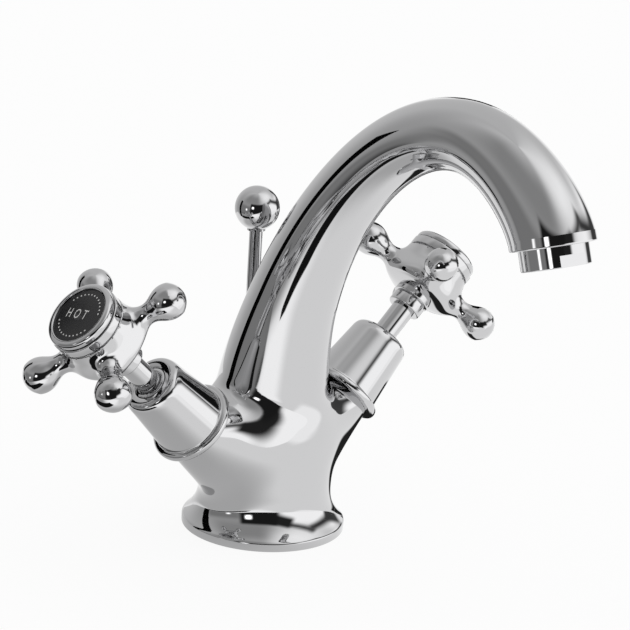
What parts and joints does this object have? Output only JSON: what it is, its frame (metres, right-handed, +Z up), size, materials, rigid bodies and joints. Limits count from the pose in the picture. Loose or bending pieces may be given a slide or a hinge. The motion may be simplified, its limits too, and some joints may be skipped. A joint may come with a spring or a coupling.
{
  "type": "bathroom mixer faucet",
  "caption": "Deck-mounted basin mixer tap in polished chrome: swan-neck spout, raised valve arms with bell covers, ball-ended cross handles and a pop-up rod behind the spout.",
  "frame": {"origin": "centre of the base on the deck, at the mouth of the fixing-stud thread", "axes": "+Z up; -Y the way the spout points; -X the hot side, +X the cold side"},
  "size_m": [0.1916, 0.1727, 0.1744],
  "materials": {
    "polished_chrome": "polished",
    "brass": "turned",
    "black_rubber": "moulded",
    "valve_ceramic": "lapped",
    "stainless_steel": "bright",
    "white_plastic": "moulded",
    "black_index": "satin"
  },
  "bodies": {
    "faucet": {"body_casting": "polished_chrome", "inlet_block": "brass", "hot_inlet_seal": "black_rubber", "cold_inlet_seal": "black_rubber", "deck_seal": "black_rubber", "rod_bush": "white_plastic", "aerator_housing": "polished_chrome", "aerator_insert": "white_plastic", "aerator_screen": "stainless_steel", "aerator_washer": "black_rubber", "hot_bell": "polished_chrome", "hot_valve_body": "brass", "hot_flange_washer": "black_rubber", "hot_fixed_disc": "valve_ceramic", "hot_seat_seal": "black_rubber", "cold_bell": "polished_chrome", "cold_valve_body": "brass", "cold_flange_washer": "black_rubber", "cold_fixed_disc": "valve_ceramic", "cold_seat_seal": "black_rubber"},
    "hot_handle": {"hot_moving_disc": "valve_ceramic", "hot_spindle": "polished_chrome", "hot_spindle_seals": "black_rubber", "hot_spring_clip": "stainless_steel", "hot_cross_handle": "polished_chrome", "hot_handle_screw": "stainless_steel", "hot_index_bezel": "polished_chrome", "hot_index_disc": "black_index"},
    "cold_handle": {"cold_moving_disc": "valve_ceramic", "cold_spindle": "polished_chrome", "cold_spindle_seals": "black_rubber", "cold_spring_clip": "stainless_steel", "cold_cross_handle": "polished_chrome", "cold_handle_screw": "stainless_steel", "cold_index_bezel": "polished_chrome", "cold_index_disc": "black_index"},
    "pop_up_rod": {"lift_rod": "polished_chrome", "lift_knob": "polished_chrome"}
  },
  "joints": [
    {"name": "hot_turn", "type": "hinge", "parent": "faucet", "child": "hot_handle", "pos_m": [-0.07582, 0.0008, 0.08206], "axis": [-0.7325, 0, 0.6807], "range_deg": [0, 90]},
    {"name": "cold_turn", "type": "hinge", "parent": "faucet", "child": "cold_handle", "pos_m": [0.07582, 0.0008, 0.08206], "axis": [0.7325, 0, 0.6807], "range_deg": [-90, 0]},
    {"name": "rod_lift", "type": "slide", "parent": "faucet", "child": "pop_up_rod", "axis": [0, 0, 1], "range_m": [0, 0.025]}
  ]
}
